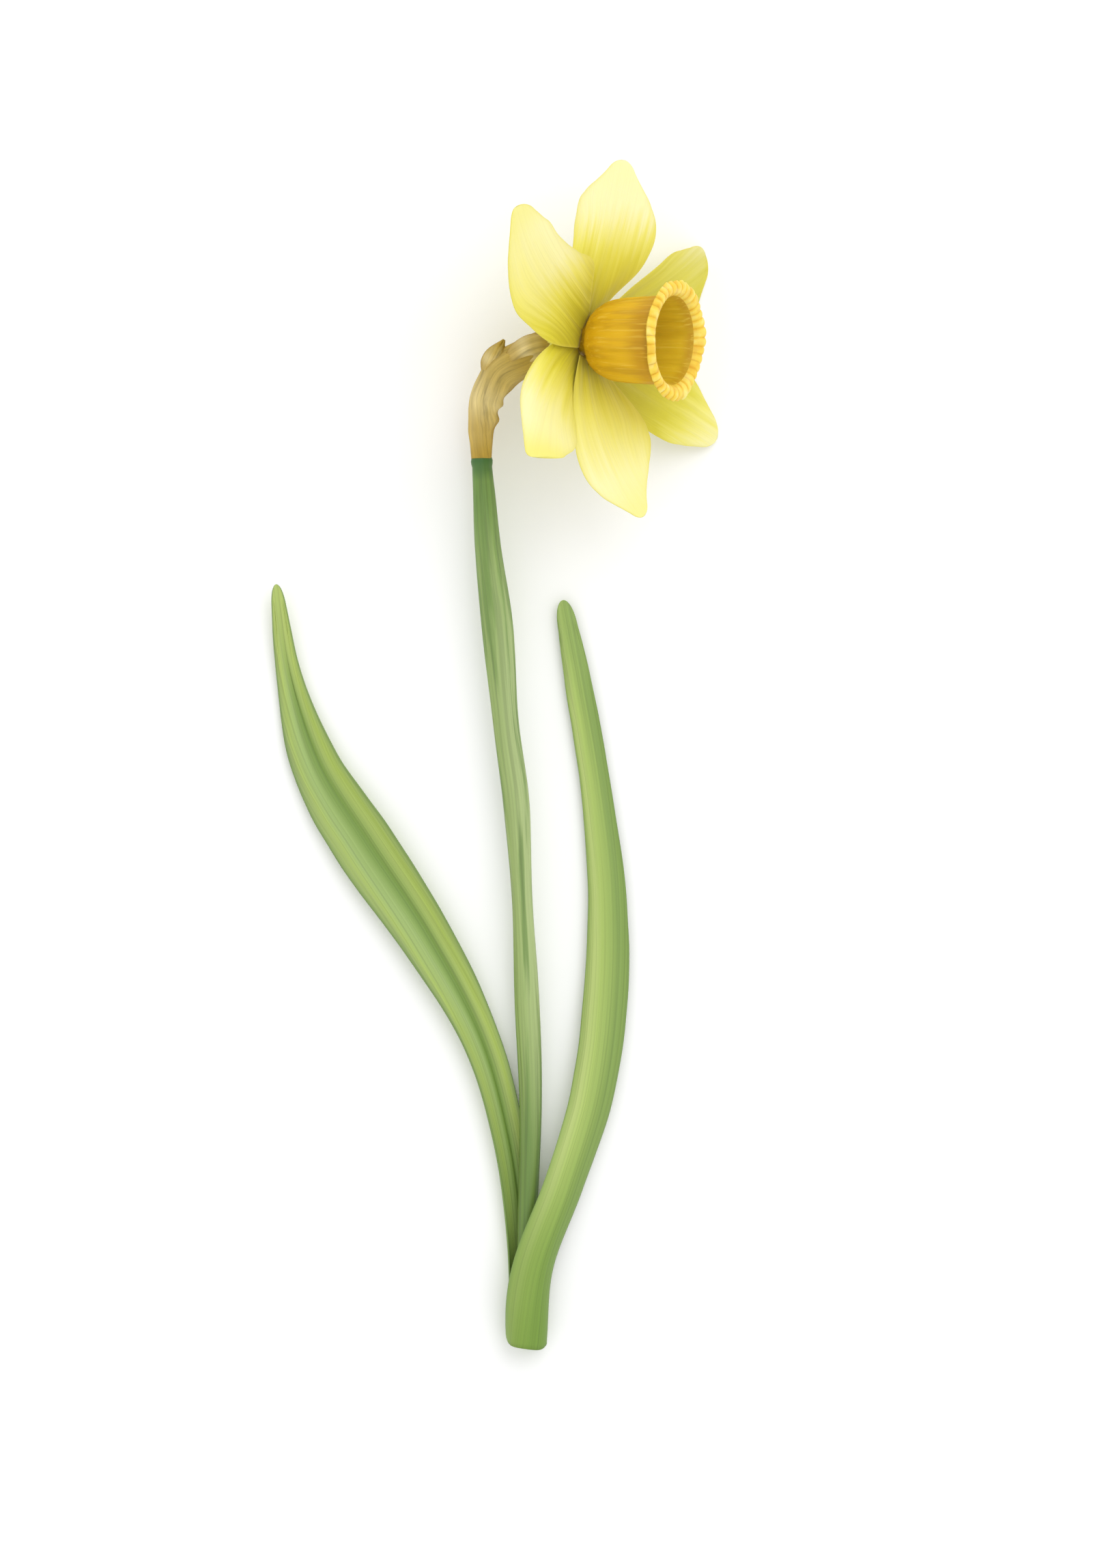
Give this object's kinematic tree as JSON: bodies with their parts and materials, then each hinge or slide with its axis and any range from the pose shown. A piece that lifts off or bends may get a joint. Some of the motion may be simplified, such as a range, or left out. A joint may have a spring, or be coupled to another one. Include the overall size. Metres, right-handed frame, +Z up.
{
  "type": "cut daffodil flower",
  "caption": "Cut daffodil lying on a surface: flattened stem with two channelled leaves, papery spathe, pale yellow tepals and a golden frilled trumpet",
  "frame": {"origin": "on the surface that the flower lies on, under the middle of its box", "axes": "+Y along the stem from the cut end to the flower, +Z up from the surface, the trumpet looks towards +X and up"},
  "size_m": [0.1207, 0.3189, 0.0681],
  "materials": {
    "stem": "ridged green plant tissue with a pale bloom",
    "leaf": "strap leaf with fine lengthwise veins and a waxy sheen",
    "spathe": "dry papery sheath, wrinkled lengthwise",
    "tube": "smooth greenish yellow petal tissue",
    "tepal": "soft satin petal with faint lengthwise veins",
    "trumpet": "ribbed golden petal tissue with a paler frilled rim",
    "stamen": "dusty pollen",
    "pistil": "smooth pale green"
  },
  "bodies": {
    "root": {"scape": "stem", "leaf_left": "leaf", "leaf_right": "leaf", "spathe": "spathe", "pedicel": "stem", "ovary": "stem", "perianth_tube": "tube", "tepal_outer_top": "tepal", "tepal_outer_right_lower": "tepal", "tepal_outer_left_lower": "tepal", "tepal_inner_right_upper": "tepal", "tepal_inner_bottom": "tepal", "tepal_inner_left_upper": "tepal", "corona": "trumpet", "stamen_1": "stamen", "stamen_2": "stamen", "stamen_3": "stamen", "stamen_4": "stamen", "stamen_5": "stamen", "stamen_6": "stamen", "pistil": "pistil"}
  },
  "joints": []
}
